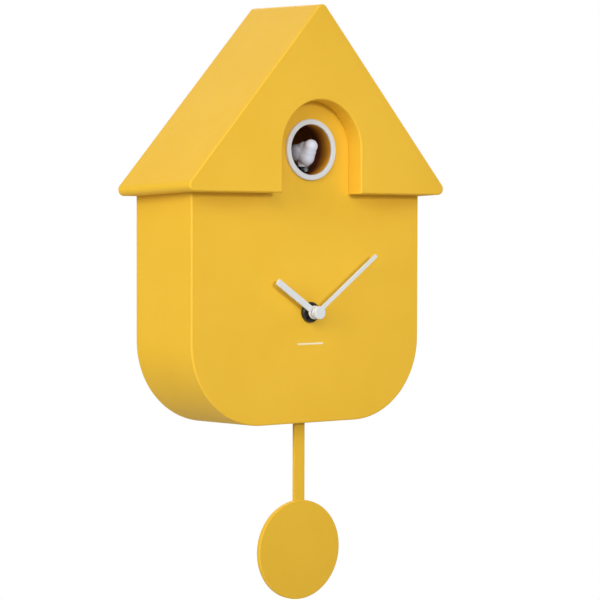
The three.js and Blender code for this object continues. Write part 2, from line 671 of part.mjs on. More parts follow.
// Inside the movement: the stepping motor's coil and stator, and the board with its crystal.
const COIL_Z = DIAL.z - 20;
const INSIDE_Y = MOVEMENT_FRONT + MOVEMENT.wall + GAP;
add(
  "stepper_coil",
  tubeX(4.2, 1.3, -20, -4, INSIDE_Y + 5.6, COIL_Z, 18),
  "copper",
);
add(
  "stepper_stator",
  join(
    rodX(1, -22.4, -1.6, INSIDE_Y + 5.6, COIL_Z, 10),
    box(-24.4, -22, INSIDE_Y + 4.6, INSIDE_Y + 6.6, COIL_Z - 2, COIL_Z + 14),
    box(-2, 0.4, INSIDE_Y + 4.6, INSIDE_Y + 6.6, COIL_Z - 2, COIL_Z + 5),
    box(-24.4, -14, INSIDE_Y + 4.6, INSIDE_Y + 6.6, COIL_Z + 11, COIL_Z + 14),
  ),
  "steel",
);
add("timing_board", box(-25, -9.8, INSIDE_Y + 0.2, INSIDE_Y + 1.4, DIAL.z - 4, DIAL.z + 23), "board");
add("quartz_crystal", rodZ(1.5, DIAL.z + 10, DIAL.z + 18, -20, INSIDE_Y + 3.3, 14), "steel");
function tubeX(outer, inner, x0, x1, y, z, sides) {
  return tubeY(outer, inner, x0, x1, 0, 0, sides)
    .rotateZ(-Math.PI / 2)
    .translate(0, y, z);
}

// ---------------------------------------------------------------- pendulum
const DRIVE_TOP = DIAL.z - HALF_MOVEMENT - GAP;
const PIVOT_Z = DRIVE_TOP - 8.7;
const DRIVE = { halfW: 17, y0: MOVEMENT_FRONT, y1: PENDULUM.y + 7, z0: PIVOT_Z - 17, wall: 1.5 };
const MAGNET_Z = PIVOT_Z - 11;
function pendulumDrive() {
  const { halfW, y0, y1, z0, wall: w } = DRIVE;
  return cut(
    box(-halfW, halfW, y0, y1, z0, DRIVE_TOP),
    box(-halfW + w, halfW - w, y0 + w, y1 - w, z0 - 1, DRIVE_TOP - w),
    rodY(0.9, y0 - 1, y1 + 1, 0, PIVOT_Z, 14),
  );
}
// The arm hangs on its pin inside the drive, and a hook at its foot carries the rod.
const ARM = { halfW: 2.5, y0: PENDULUM.y - 1.5, y1: PENDULUM.y + 1.5, foot: DRIVE.z0 - 9 };
function swingArm() {
  const { halfW, y0, y1, foot } = ARM;
  return cut(
    join(
      rodY(4, y0, y1, 0, PIVOT_Z, 20),
      box(-halfW, halfW, y0, y1, foot, PIVOT_Z),
      rodY(4, y0, y1, 0, MAGNET_Z, 20),
      box(-halfW, halfW, y0, y1 + 3.2, foot, foot + 2),
      box(-halfW, halfW, y1 + 2, y1 + 3.2, foot, foot + 5),
    ),
    rodY(1.1, y0 - 1, y1 + 1, 0, PIVOT_Z, 14),
  );
}
// The rod is a flat strap whose top lies behind the arm, with an eye for the hook.
const STRAP_Y = [ARM.y1 + GAP, ARM.y1 + GAP + 1.4];
const ROD_FOOT = PENDULUM.discZ + PENDULUM.discR - 6;
function pendulumRod() {
  const { rodW, rodT, y } = PENDULUM;
  const half = rodW / 2;
  const [front, back] = [y - rodT / 2, y + rodT / 2];
  return cut(
    join(
      box(-half, half, front, back, ROD_FOOT, ARM.foot - 1),
      box(-half, half, front, STRAP_Y[1], ARM.foot - 3, ARM.foot - 0.9),
      box(-half, half, ...STRAP_Y, ARM.foot - 1, ARM.foot + 8),
    ),
    box(-ARM.halfW - 0.4, ARM.halfW + 0.4, -100, 0, ARM.foot - 0.5, ARM.foot + 2.4),
  );
}
function pendulumDisc() {
  const { y, discZ, discR, discT, rodW, rodT } = PENDULUM;
  const [y0, y1] = [y - discT / 2, y + discT / 2];
  const socket = box(
    -rodW / 2 - 0.2,
    rodW / 2 + 0.2,
    y - rodT / 2 - 0.12,
    y + rodT / 2 + 0.12,
    ROD_FOOT - GAP,
    discZ + discR + 5,
  );
  const profile = [
    [0, y0],
    [discR - 0.6, y0],
    [discR, y0 + 0.6],
    [discR, y1 - 0.6],
    [discR - 0.6, y1],
    [0, y1],
  ];
  return cut(turned(profile, 0, discZ, 64), socket);
}
add("pendulum_drive", pendulumDrive(), "black");
add("pivot_pin", rodY(0.8, DRIVE.y0 + 0.3, DRIVE.y1 - 0.2, 0, PIVOT_Z, 12), "steel");
add("swing_arm", swingArm(), "whitePlastic");
add("swing_magnet", rodY(3.5, ARM.y0 - GAP - 2.4, ARM.y0 - GAP, 0, MAGNET_Z, 18), "steel");
add("drive_coil", tubeY(5.5, 2, DRIVE.y0 + 1.8, DRIVE.y0 + 3.8, 0, MAGNET_Z, 20), "copper");
add("pendulum_rod", pendulumRod(), "yellow");
add("pendulum_disc", pendulumDisc(), "yellow");

// ---------------------------------------------------------------- cuckoo
const BIRD = { floor: PORTHOLE.z - 11.3, head: 4.7, neckY: BODY_FRONT + 7.2 };
const CARRIAGE = { y0: -60, y1: -9, top: BIRD.floor - GAP, thick: 3.2, halfW: 5, nose: 3.1 };
const LIP = { halfW: 8, y0: -42, top: CARRIAGE.top - 1.6, bottom: CARRIAGE.top - 2.8 };
const RACK = { module: 0.8, halfW: 2, pitchZ: CARRIAGE.top - 4.2, teeth: 12 };
const GEAR = { teeth: 16, wheel: 20, pinion: 8, module: 0.6, y: -35 };
const GEAR_Z = RACK.pitchZ - (GEAR.teeth * RACK.module) / 2;
const MOTOR_Z = GEAR_Z - ((GEAR.wheel + GEAR.pinion) * GEAR.module) / 2;

// The rack's teeth, drawn in Y and Z. A gap of the rack stands over the gear when the bird is home.
function rack() {
  const pitch = Math.PI * RACK.module;
  const slant = Math.tan(PRESSURE);
  const [tip, root] = [0.9 * RACK.module, 1.15 * RACK.module];
  const halfAt = (down) => pitch / 4 - 0.08 - down * slant;
  const first = GEAR.y - 1.5 * pitch;
  const points = [new THREE.Vector2(first - pitch / 2, root + 1)];
  for (let i = 0; i < RACK.teeth; i += 1) {
    const middle = first + i * pitch;
    points.push(new THREE.Vector2(middle - halfAt(-root), root));
    points.push(new THREE.Vector2(middle - halfAt(tip), -tip));
    points.push(new THREE.Vector2(middle + halfAt(tip), -tip));
    points.push(new THREE.Vector2(middle + halfAt(-root), root));
  }
  points.push(new THREE.Vector2(first + (RACK.teeth - 0.5) * pitch, root + 1));
  return new THREE.ExtrudeGeometry(new THREE.Shape(points), { depth: 2 * RACK.halfW, bevelEnabled: false })
    .rotateY(Math.PI / 2)
    .rotateX(Math.PI / 2)
    .translate(-RACK.halfW, 0, RACK.pitchZ);
}
function birdCarriage() {
  const { y0, y1, top, thick, nose, halfW } = CARRIAGE;
  return cut(
    join(
      box(-nose, nose, y0, LIP.y0, top - thick, top),
      box(-halfW, halfW, LIP.y0 - 8, y1, top - thick, top),
      box(-LIP.halfW, LIP.halfW, LIP.y0, y1, LIP.bottom, LIP.top),
      rack(),
    ),
    rodY(1.1, y0 - 1, y0 + 6, 0, BIRD_SCREW_Z, 12),
  );
}
const BIRD_SCREW_Z = CARRIAGE.top - 1.6;
// A plump bird that looks out of the porthole: head, breast and back on a round foot, and a flat tail.
function birdBody() {
  const { floor, head, neckY } = BIRD;
  const z = PORTHOLE.z;
  const tailY = BODY_FRONT + 20;
  return cut(
    join(
      ball(head, head, head, BODY_FRONT - 1.3, z + 2.4),
      ball(5.5, 7, 7.5, BODY_FRONT + 4.2, z - 3.5),
      ball(6, 9, 6.8, BODY_FRONT + 14, z - 3.6),
      rodZ(3.9, floor, z - 6, 0, neckY, 16),
      box(-3, 3, tailY, tailY + 9, z - 4, z - 1.4),
    ),
    box(-20, 20, -100, 0, floor - 20, floor),
  );
}
function ball(rx, ry, rz, y, z) {
  return new THREE.SphereGeometry(1, 16, 10).scale(rx, ry, rz).translate(0, y, z);
}
function cuckooChassis() {
  const { y0, y1, cheek, thick, z0, z1 } = CHASSIS;
  const sides = [-1, 1].flatMap((s) => {
    const [x0, x1] = ordered(s * cheek, s * (cheek + thick));
    const [far0, far1] = ordered(s * cheek, s * 31);
    return [
      box(x0, x1, y0, y1, z0, z1),
      box(x0, x1, GEAR.y - 9, GEAR.y + 9, MOTOR_Z - 8, z0 + 1),
      box(far0, far1, y0, y0 + 2, FRAME_POSTS[0][1] - 5, FRAME_POSTS[0][1] + 5),
    ];
  });
  const ties = [
    box(-cheek - 1, cheek + 1, y0, y0 + 2, z0, z0 + 3),
    box(-cheek - 1, cheek + 1, y1 - 12, y1 - 2, z0, z0 + 2),
  ];
  const grooves = box(
    -LIP.halfW - GAP,
    LIP.halfW + GAP,
    y0 - 1,
    y1 + 1,
    LIP.bottom - GAP,
    LIP.top + GAP,
  );
  return cut(
    join(...sides, ...ties),
    grooves,
    rodX(1.7, -20, 20, GEAR.y, GEAR_Z, 14),
    rodX(1.6, -20, 20, GEAR.y, MOTOR_Z, 14),
    ...FRAME_POSTS.map(([x, z]) => rodY(SCREW_R + GAP, -60, -30, x, z, 14)),
  );
}
function driveGear() {
  const up = Math.PI / 2;
  const tooth = -up + Math.PI / GEAR.wheel; // a gap of the wheel faces the pinion below
  return join(
    gearX(GEAR.teeth, RACK.module, up, -1.8, 1.8, GEAR.y, GEAR_Z, 0.16),
    gearX(GEAR.wheel, GEAR.module, tooth, 3, 4.8, GEAR.y, GEAR_Z, 0.14),
    rodX(2.6, -3.2, 5.6, GEAR.y, GEAR_Z, 16),
    rodX(1.4, -9, 9, GEAR.y, GEAR_Z, 14),
  );
}
function motorPinion() {
  return join(
    gearX(GEAR.pinion, GEAR.module, Math.PI / 2, 2.8, 5, GEAR.y, MOTOR_Z, 0.14),
    rodX(0.8, 2.8, MOTOR.x0 - GAP, GEAR.y, MOTOR_Z, 12),
  );
}
const MOTOR = { x0: CHASSIS.cheek + CHASSIS.thick + GAP, length: 20, r: 6 };
function cuckooMotor() {
  const { x0, length, r } = MOTOR;
  return join(
    rodX(r, x0, x0 + length, GEAR.y, MOTOR_Z, 24),
    rodX(2.4, x0 + length - 1, x0 + length + 1.6, GEAR.y, MOTOR_Z, 16),
  );
}
add("cuckoo_chassis", cuckooChassis(), "black");
FRAME_POSTS.forEach(([x, z], i) => {
  add("chassis_screw_" + (i + 1), screwY(x, z, CHASSIS.y0 + 2 + GAP, 1, SCREW_R, 9), "steel");
});
add("bird_carriage", birdCarriage(), "black");
add("bird", birdBody(), "birdGrey");
add("bird_screw", screwY(0, BIRD_SCREW_Z, CARRIAGE.y0 - GAP, -1, 0.9, 5), "steel");
add("drive_gear", driveGear(), "whitePlastic");
add("cuckoo_motor", cuckooMotor(), "steel");
add("motor_pinion", motorPinion(), "brass");

// ---------------------------------------------------------------- sound
function speakerFrame() {
  const { r, z, back } = SPEAKER;
  return turned([
    [9.4, back],
    [10.6, back],
    [r, -5.4],
    [r + 1.5, -5.4],
    [r + 1.5, COVER_FRONT - GAP],
    [r - 1.5, COVER_FRONT - GAP],
    [r - 1.5, -5],
    [9.4, back + 1],
    [9.4, back],
  ], 0, z, 24);
}
function speakerCone() {
  const { r, z } = SPEAKER;
  return turned([
    [0, -9.6],
    [4, -9],
    [r - 2, -3.8],
    [r - 2, -3.2],
    [4, -8.2],
    [0, -8.8],
  ], 0, z, 24);
}
add("speaker_frame", speakerFrame(), "steel");
add("speaker_cone", speakerCone(), "paper");
add("speaker_magnet", rodY(9, SPEAKER.back - 1.6, SPEAKER.back + 3.6, 0, SPEAKER.z, 24), "charcoal");
add("sound_board", box(BOARD.x0, BOARD.x1, BOARD.y, BOARD.y + BOARD.thick, BOARD.z0, BOARD.z1), "board");
add("sound_chip", box(-70, -58, BOARD.y - 2, BOARD.y - 0.2, BOARD.z0 + 4, BOARD.z0 + 12), "black");
["volume_switch", "night_switch"].forEach((name, i) => {
  const x = SWITCHES[i];
  const { halfW, halfH, z } = SWITCH;
  add(name, box(x - halfW, x + halfW, BOARD.y + BOARD.thick + GAP, -0.4, z - halfH, z + halfH), "black");
});

const CELL_MIDDLE = (BAY.z0 + BAY.z1) / 2;
const CELL_Y = -BAY.depth / 2 - 1.2;
[-1, 1].forEach((s) => {
  const turn = s > 0 ? 0 : Math.PI;
  const g = cell(true).rotateY(turn).translate(BAY.x + s * 7.6, CELL_Y, CELL_MIDDLE);
  add("sound_battery_" + (s > 0 ? 1 : 2), g, "battery");
});
const bridgeZ = BAY.z1 - BAY.wall - GAP;
[-1, 1].forEach((s) => {
  const x = BAY.x + s * 7.6;
  const z = BAY.z0 + BAY.wall + GAP;
  add(
    "contact_" + (s > 0 ? "minus" : "plus"),
    join(
      box(x - 5, x + 5, CELL_Y - 4, CELL_Y + 4, z, z + 0.4),
      rodZ(s > 0 ? 3 : 1.5, z + 0.2, z + (s > 0 ? 1.8 : 0.6), x, CELL_Y, 12),
    ),
    "steel",
  );
});
add("contact_bridge", box(BAY.x - 13, BAY.x + 13, CELL_Y - 4, CELL_Y + 4, bridgeZ - 0.4, bridgeZ), "steel");

export default clock;
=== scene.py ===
"""Looks for the wall-hung cuckoo clock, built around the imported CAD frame.

Metres, +Z up. The wall is the plane Y = 0, the clock faces -Y, and the origin is the top of the hanging slot.
Every shape below is given in millimetres and scaled by MM.
"""

import json
import math

import bmesh
import bpy
import numpy as np
from mathutils import Matrix, Vector


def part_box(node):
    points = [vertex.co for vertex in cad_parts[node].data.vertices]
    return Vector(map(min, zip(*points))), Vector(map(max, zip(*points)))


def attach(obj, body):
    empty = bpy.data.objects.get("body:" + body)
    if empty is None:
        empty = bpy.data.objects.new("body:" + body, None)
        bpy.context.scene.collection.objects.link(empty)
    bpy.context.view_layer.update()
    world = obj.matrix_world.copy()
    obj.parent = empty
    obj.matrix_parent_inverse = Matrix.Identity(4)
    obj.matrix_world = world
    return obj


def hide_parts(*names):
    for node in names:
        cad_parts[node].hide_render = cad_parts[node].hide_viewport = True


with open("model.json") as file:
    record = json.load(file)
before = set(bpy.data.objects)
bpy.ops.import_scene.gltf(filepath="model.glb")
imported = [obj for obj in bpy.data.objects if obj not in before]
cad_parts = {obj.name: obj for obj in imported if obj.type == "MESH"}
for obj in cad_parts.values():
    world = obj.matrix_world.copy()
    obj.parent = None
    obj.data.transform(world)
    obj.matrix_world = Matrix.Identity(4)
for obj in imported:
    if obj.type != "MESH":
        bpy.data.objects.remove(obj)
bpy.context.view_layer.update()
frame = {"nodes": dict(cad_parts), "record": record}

MM = 0.001

# ---------------------------------------------------------------- dimensions, as in the CAD
GAP = 0.3
WALL = 2.5
EAVE_Z = -50
ROOF = {"width": 224, "height": 129, "depth": 79.6, "ridge": 4.5, "eave": 4.2, "draft": 2.38}
BODY = {"width": 192.2, "drop": 156.1, "depth": 65, "corner": 56.3, "draft": 1.5}
ARCH = {"half": 33.2, "jamb": 2.2}
PORTHOLE = {"z": EAVE_Z + 29.5, "outer": 20.7, "inner": 17.1, "sleeve": 19.7, "tunnel": 17.3, "proud": 2.6}
DIAL_Z = EAVE_Z - 80.7
ROOF_FRONT = -ROOF["depth"]
BODY_FRONT = -BODY["depth"]
BODY_INSIDE = BODY_FRONT + WALL
BODY_BOTTOM = EAVE_Z - BODY["drop"]
GABLE_GAP = WALL + 1
EDGE = 1.1  # fillet on the moulded front edges
EDGE_STEPS = 6
FAR = 100  # beyond every part, for cutting tools
BUSH_HOLE = 4.3

# ---------------------------------------------------------------- mesh helpers


def new_object(name, bm):
    """A mesh object from a bmesh whose coordinates are in millimetres."""
    bmesh.ops.recalc_face_normals(bm, faces=bm.faces)
    bmesh.ops.scale(bm, vec=(MM, MM, MM), verts=bm.verts)
    mesh = bpy.data.meshes.new(name)
    bm.to_mesh(mesh)
    bm.free()
    obj = bpy.data.objects.new(name, mesh)
    bpy.context.scene.collection.objects.link(obj)
    return obj


def loft(name, rings):
    """A closed solid through rings of points, each a list of (x, y, z), capped at both ends."""
    bm = bmesh.new()
    rows = [[bm.verts.new(p) for p in ring] for ring in rings]
    n = len(rows[0])
    for a, b in zip(rows, rows[1:]):
        for i in range(n):
            j = (i + 1) % n
            bm.faces.new((a[i], a[j], b[j], b[i]))
    bm.faces.new(rows[0])
    bm.faces.new(rows[-1])
    return new_object(name, bm)


def rounded_outline(corners, grow, steps):
    """A convex polygon with round corners, moved outwards by grow.

    Corners are (x, z, radius), anticlockwise.
    """
    points = []
    n = len(corners)
    for i, (x, z, r) in enumerate(corners):
        here = np.array([x, z], float)
        back = np.array(corners[i - 1][:2], float) - here
        ahead = np.array(corners[(i + 1) % n][:2], float) - here
        back /= np.linalg.norm(back)
        ahead /= np.linalg.norm(ahead)
        half = math.acos(max(-1.0, min(1.0, float(back @ ahead)))) / 2
        inwards = (back + ahead) / np.linalg.norm(back + ahead)
        centre = here + inwards * r / math.sin(half)
        middle = math.atan2(-inwards[1], -inwards[0])
        sweep = math.pi / 2 - half
        parts = steps if r > 10 else max(6, steps // 4)
        for k in range(parts + 1):
            a = middle + sweep * (2 * k / parts - 1)
            points.append(centre + (r + grow) * np.array([math.cos(a), math.sin(a)]))
    return points


def ring_at(points, y):
    return [(float(p[0]), y, float(p[1])) for p in points]


def moulded(name, outline, y0, y1, edge=0.0, rim=0.0):
    """A drafted solid from y0 to y1 with a fillet of radius edge round its front face and rim round its back.

    outline(t, grow) gives its section at the share t of its depth, moved outwards by grow.
    """
    sections = []
    if edge:
        for a in np.linspace(0, math.pi / 2, EDGE_STEPS + 1):
            sections.append((y0 + edge * (1 - math.cos(a)), -edge * (1 - math.sin(a))))
    else:
        sections.append((y0, 0))
    if rim:
        for a in np.linspace(0, math.pi / 2, 4):
            sections.append((y1 - rim * (1 - math.sin(a)), -rim * (1 - math.cos(a))))
    else:
        sections.append((y1, 0))
    return loft(name, [ring_at(outline((y - y0) / (y1 - y0), grow), y) for y, grow in sections])


def box(name, x0, x1, y0, y1, z0, z1):
    square = [(x0, z0), (x1, z0), (x1, z1), (x0, z1)]
    return loft(name, [ring_at(square, y0), ring_at(square, y1)])


def disc(name, r, y0, y1, x, z, steps=64):
    """A cylinder along Y."""
    circle = [(x + r * math.cos(a), z + r * math.sin(a)) for a in np.linspace(0, 2 * math.pi, steps, False)]
    return loft(name, [ring_at(circle, y0), ring_at(circle, y1)])


def turned(name, profile, x, z, steps=96):
    """A solid of revolution along Y through (x, z).

    The profile holds (radius, y), and closes on itself or on the axis.
    """
    closed = profile[0][0] > 1e-6
    bm = bmesh.new()
    angles = np.linspace(0, 2 * math.pi, steps, False)
    rows = []
    for r, y in profile:
        if r < 1e-6:
            rows.append([bm.verts.new((x, y, z))])
        else:
            rows.append([bm.verts.new((x + r * math.cos(a), y, z + r * math.sin(a))) for a in angles])
    pairs = list(zip(rows, rows[1:]))
    if closed:
        pairs.append((rows[-1], rows[0]))
    for a, b in pairs:
        for i in range(steps):
            j = (i + 1) % steps
            if len(a) == 1:
                bm.faces.new((a[0], b[j], b[i]))
            elif len(b) == 1:
                bm.faces.new((a[i], a[j], b[0]))
            else:
                bm.faces.new((a[i], a[j], b[j], b[i]))
    return new_object(name, bm)


def fillet(profile, radius, steps=4, closed=True):
    """A (radius, y) profile with its corners rounded. The ends of an open profile stay."""
    points = [np.array(p, float) for p in profile]
    closed = closed and profile[0][0] > 1e-6
    out = []
    n = len(points)
    for i, here in enumerate(points):
        if not closed and i in (0, n - 1):
            out.append(tuple(here))
            continue
        before, after = points[i - 1], points[(i + 1) % n]
        u, v = before - here, after - here
        r = min(radius, np.linalg.norm(u) * 0.45, np.linalg.norm(v) * 0.45)
        u, v = u / np.linalg.norm(u), v / np.linalg.norm(v)
        for k in range(steps + 1):
            t = k / steps
            p = here + u * r * (1 - t) ** 2 + v * r * t**2
            out.append(tuple(p))
    return out


def combine(base, tools, operation):
    """base after an exact boolean with each tool. The tools are used up."""
    for tool in tools:
        m = base.modifiers.new("b", "BOOLEAN")
        m.operation = operation
        m.solver = "EXACT"
        m.object = tool
        graph = bpy.context.evaluated_depsgraph_get()
        graph.update()
        mesh = bpy.data.meshes.new_from_object(base.evaluated_get(graph))
        base.modifiers.clear()
        old = base.data
        base.data = mesh
        bpy.data.meshes.remove(old)
        bpy.data.objects.remove(tool)
    return base


def cut(base, *tools):
    return combine(base, tools, "DIFFERENCE")


def join(base, *tools):
    return combine(base, tools, "UNION")


def smooth(obj, angle=30):
    """Smooth shading with crisp corners, and normals weighted by face area so that flat faces stay flat."""
    mesh = obj.data
    mesh.polygons.foreach_set("use_smooth", [True] * len(mesh.polygons))
    mesh.set_sharp_from_angle(angle=math.radians(angle))
    m = obj.modifiers.new("weighted", "WEIGHTED_NORMAL")
    m.keep_sharp = True
    return obj


def soften(obj, width, segments=2, angle=32):
    """Small round edges on a hard-edged piece, as modifiers."""
    m = obj.modifiers.new("weld", "WELD")
    m.merge_threshold = 2e-6
    m = obj.modifiers.new("planar", "DECIMATE")
    m.decimate_type = "DISSOLVE"
    m.angle_limit = math.radians(1.5)
    m = obj.modifiers.new("round", "BEVEL")
    m.width = width * MM
    m.segments = segments
    m.limit_method = "ANGLE"
    m.angle_limit = math.radians(angle)
    m.use_clamp_overlap = True
    m.harden_normals = False
    mesh = obj.data
    mesh.polygons.foreach_set("use_smooth", [True] * len(mesh.polygons))
    m = obj.modifiers.new("weighted", "WEIGHTED_NORMAL")
    m.keep_sharp = True
    return obj


# ---------------------------------------------------------------- materials


class Finish:
    """A procedural material: a Principled shader with node helpers."""

    def __init__(self, name):
        self.mat = bpy.data.materials.new(name)
        self.mat.use_nodes = True
        self.tree = self.mat.node_tree
        self.tree.nodes.clear()
        self.out = self.tree.nodes.new("ShaderNodeOutputMaterial")
        self.shader = self.tree.nodes.new("ShaderNodeBsdfPrincipled")
        self.link(self.shader.outputs["BSDF"], self.out.inputs["Surface"])
        self.place = self.tree.nodes.new("ShaderNodeTexCoord").outputs["Object"]

    def link(self, a, b):
        self.tree.links.new(a, b)

    def noise(self, scale, detail=3.0, rough=0.5, stretch=None):
        node = self.tree.nodes.new("ShaderNodeTexNoise")
        node.inputs["Scale"].default_value = scale
        node.inputs["Detail"].default_value = detail
        node.inputs["Roughness"].default_value = rough
        source = self.place
        if stretch:
            mapping = self.tree.nodes.new("ShaderNodeMapping")
            mapping.inputs["Scale"].default_value = stretch
            self.link(source, mapping.inputs["Vector"])
            source = mapping.outputs["Vector"]
        self.link(source, node.inputs["Vector"])
        return node.outputs["Fac"]

    def span(self, value, low, high, from_low=0.3, from_high=0.7):
        node = self.tree.nodes.new("ShaderNodeMapRange")
        node.inputs["From Min"].default_value = from_low
        node.inputs["From Max"].default_value = from_high
        node.inputs["To Min"].default_value = low
        node.inputs["To Max"].default_value = high
        self.link(value, node.inputs["Value"])
        return node.outputs["Result"]

    def mix(self, factor, a, b):
        node = self.tree.nodes.new("ShaderNodeMix")
        node.data_type = "RGBA"
        for socket, value in ((node.inputs[6], a), (node.inputs[7], b)):
            if isinstance(value, tuple):
                socket.default_value = (*value, 1.0)
            else:
                self.link(value, socket)
        self.link(factor, node.inputs[0])
        return node.outputs[2]

    def bump(self, height, strength, distance, after=None):
        node = self.tree.nodes.new("ShaderNodeBump")
        node.inputs["Strength"].default_value = strength
        node.inputs["Distance"].default_value = distance
        self.link(height, node.inputs["Height"])
        if after is not None:
            self.link(after, node.inputs["Normal"])
        return node.outputs["Normal"]

    def set(self, **values):
        for name, value in values.items():
            socket = self.shader.inputs[name.replace("_", " ")]
            if hasattr(value, "is_linked"):
                self.link(value, socket)
            elif isinstance(value, tuple):
                socket.default_value = (*value, 1.0)
            else:
                socket.default_value = value


def srgb(r, g, b):
    """Linear colour from 0-255 display values."""
    return tuple(((c / 255 + 0.055) / 1.055) ** 2.4 if c > 10 else c / 255 / 12.92 for c in (r, g, b))


def plastic(name, light, dark, rough, grain, variation=0.05, specular=0.5, coat=0.0):
    """Moulded plastic: a slow drift between two near tints, a fine spark-eroded grain, and uneven gloss."""
    f = Finish(name)
    drift = f.span(f.noise(22, 3, 0.55), 0, 1)
    f.set(
        Base_Color=f.mix(drift, light, dark),
        Roughness=f.span(f.noise(160, 4, 0.6), rough - variation, rough + variation),
        Specular_IOR_Level=specular,
        Coat_Weight=coat,
        Coat_Roughness=0.4,
        Normal=f.bump(f.noise(2600, 2, 0.5), grain, 0.00006, f.bump(f.noise(90, 2), 0.12, 0.00005)),
    )
    return f.mat


def metal(name, light, dark, rough, stretch=(1, 1, 1)):
    """Plated or turned metal: faint drawn lines and small changes of gloss."""
    f = Finish(name)
    lines = f.noise(900, 3, 0.6, stretch)
    f.set(
        Base_Color=f.mix(f.span(f.noise(120, 3), 0, 1), light, dark),
        Metallic=1.0,
        Roughness=f.span(lines, rough - 0.08, rough + 0.1),
        Normal=f.bump(lines, 0.15, 0.00004),
    )
    return f.mat


def wound(name, light, dark):
    """A coil of enamelled wire: fine ridges side by side."""
    f = Finish(name)
    wave = f.tree.nodes.new("ShaderNodeTexWave")
    wave.inputs["Scale"].default_value = 900
    wave.inputs["Distortion"].default_value = 0.6
    wave.inputs["Detail"].default_value = 1
    f.link(f.place, wave.inputs["Vector"])
    ridges = wave.outputs["Fac"]
    f.set(
        Base_Color=f.mix(f.span(ridges, 0, 1, 0.1, 0.9), dark, light),
        Metallic=0.9,
        Roughness=f.span(f.noise(300), 0.28, 0.42),
        Normal=f.bump(ridges, 0.6, 0.00015),
    )
    return f.mat


def circuit(name):
    """A printed board: solder mask over raised copper tracks, with plated pads."""
    f = Finish(name)
    brick = f.tree.nodes.new("ShaderNodeTexBrick")
    brick.inputs["Scale"].default_value = 160
    brick.inputs["Mortar Size"].default_value = 0.03
    brick.inputs["Color1"].default_value = (0, 0, 0, 1)
    brick.inputs["Color2"].default_value = (0, 0, 0, 1)
    brick.inputs["Mortar"].default_value = (1, 1, 1, 1)
    turn = f.tree.nodes.new("ShaderNodeMapping")
    turn.inputs["Rotation"].default_value = (math.pi / 2, 0, 0)
    f.link(f.place, turn.inputs["Vector"])
    f.link(turn.outputs["Vector"], brick.inputs["Vector"])
    tracks = f.tree.nodes.new("ShaderNodeRGBToBW")
    f.link(brick.outputs["Color"], tracks.inputs["Color"])
    tracks = tracks.outputs["Val"]
    f.set(
        Base_Color=f.mix(tracks, srgb(24, 84, 50), srgb(46, 128, 78)),
        Roughness=f.span(f.noise(400), 0.3, 0.45),
        Normal=f.bump(tracks, 0.4, 0.00008),
    )
    return f.mat


def passage(name, front, back):
    """The nest passage: orange at its mouth, darkening to dark brown towards the inside. The darkening is
    painted shade of the deep recess, and the mouth's orange is painted bounce light off the yellow walls.
    """
    f = Finish(name)
    split = f.tree.nodes.new("ShaderNodeSeparateXYZ")
    f.link(f.place, split.inputs["Vector"])
    # Painted shade: the base colour darkens with depth along Y, from the orange mouth to dark brown inside.
    depth = f.span(split.outputs["Y"], 0, 1, front * MM, back * MM)
    mouth = f.mix(f.span(f.noise(40), 0, 1), srgb(240, 168, 40), srgb(234, 160, 36))
    inside = f.mix(f.span(f.noise(60, 4), 0, 1), srgb(108, 46, 18), srgb(90, 36, 14))
    f.set(
        Base_Color=f.mix(depth, mouth, inside),
        Roughness=f.span(f.noise(160, 4), 0.5, 0.62),
        Normal=f.bump(f.noise(2600, 2), 0.2, 0.00006),
    )
    return f.mat


def fibre(name):
    """Pressed paper for the loudspeaker's cone."""
    f = Finish(name)
    strands = f.noise(1400, 5, 0.7, (1, 1, 0.25))
    f.set(
        Base_Color=f.mix(f.span(strands, 0, 1), srgb(44, 40, 37), srgb(72, 66, 60)),
        Roughness=0.95,
        Normal=f.bump(strands, 0.5, 0.0002),
    )
    return f.mat


def cell_sleeve(name, axis, middle, reach):
    """A cell's printed sleeve: a plain body with a paler band towards its raised contact, and bare ends."""
    f = Finish(name)
    split = f.tree.nodes.new("ShaderNodeSeparateXYZ")
    f.link(f.place, split.inputs["Vector"])
    along = split.outputs[axis]
    band = f.span(along, 0, 1, middle + reach * 0.42, middle + reach * 0.44)
    f.set(
        Base_Color=f.mix(
            band,
            f.mix(f.span(f.noise(60), 0, 1), srgb(40, 86, 138), srgb(34, 76, 126)),
            f.mix(f.span(f.noise(60), 0, 1), srgb(206, 208, 210), srgb(190, 193, 196)),
        ),
        Metallic=0.35,
        Roughness=f.span(f.noise(220), 0.26, 0.36),
        Normal=f.bump(f.noise(700), 0.08, 0.00004),
    )
    return f.mat


YELLOW = plastic("yellow_plastic", srgb(238, 189, 48), srgb(235, 185, 42), 0.6, 0.16, specular=0.42)
YELLOW_REAR = plastic("yellow_plastic_rear", srgb(234, 183, 30), srgb(230, 177, 25), 0.56, 0.3)
LIGHT_GREY = plastic("light_grey_plastic", srgb(220, 223, 225), srgb(214, 217, 220), 0.46, 0.12, coat=0.1)
BIRD_GREY = plastic("bird_plastic", srgb(219, 224, 238), srgb(210, 216, 231), 0.4, 0.1, 0.04, 0.5, 0.2)
BLACK = plastic("black_plastic", srgb(27, 28, 31), srgb(20, 21, 24), 0.38, 0.3)
WHITE_PLASTIC = plastic("acetal", srgb(236, 233, 226), srgb(228, 225, 217), 0.36, 0.12)
STEEL = metal("zinc_steel", srgb(190, 194, 198), srgb(168, 171, 176), 0.3, (1, 6, 1))
BRASS = metal("turned_brass", srgb(214, 170, 92), srgb(196, 150, 74), 0.26, (1, 8, 1))
MAGNET = metal("magnet_yoke", srgb(96, 98, 102), srgb(78, 80, 84), 0.42, (1, 6, 1))
COPPER = wound("copper_winding", srgb(206, 122, 66), srgb(128, 62, 30))
BOARD = circuit("circuit_board")
PAPER = fibre("paper_cone")
MARK = plastic("printed_mark", srgb(244, 232, 190), srgb(240, 226, 180), 0.5, 0.05)

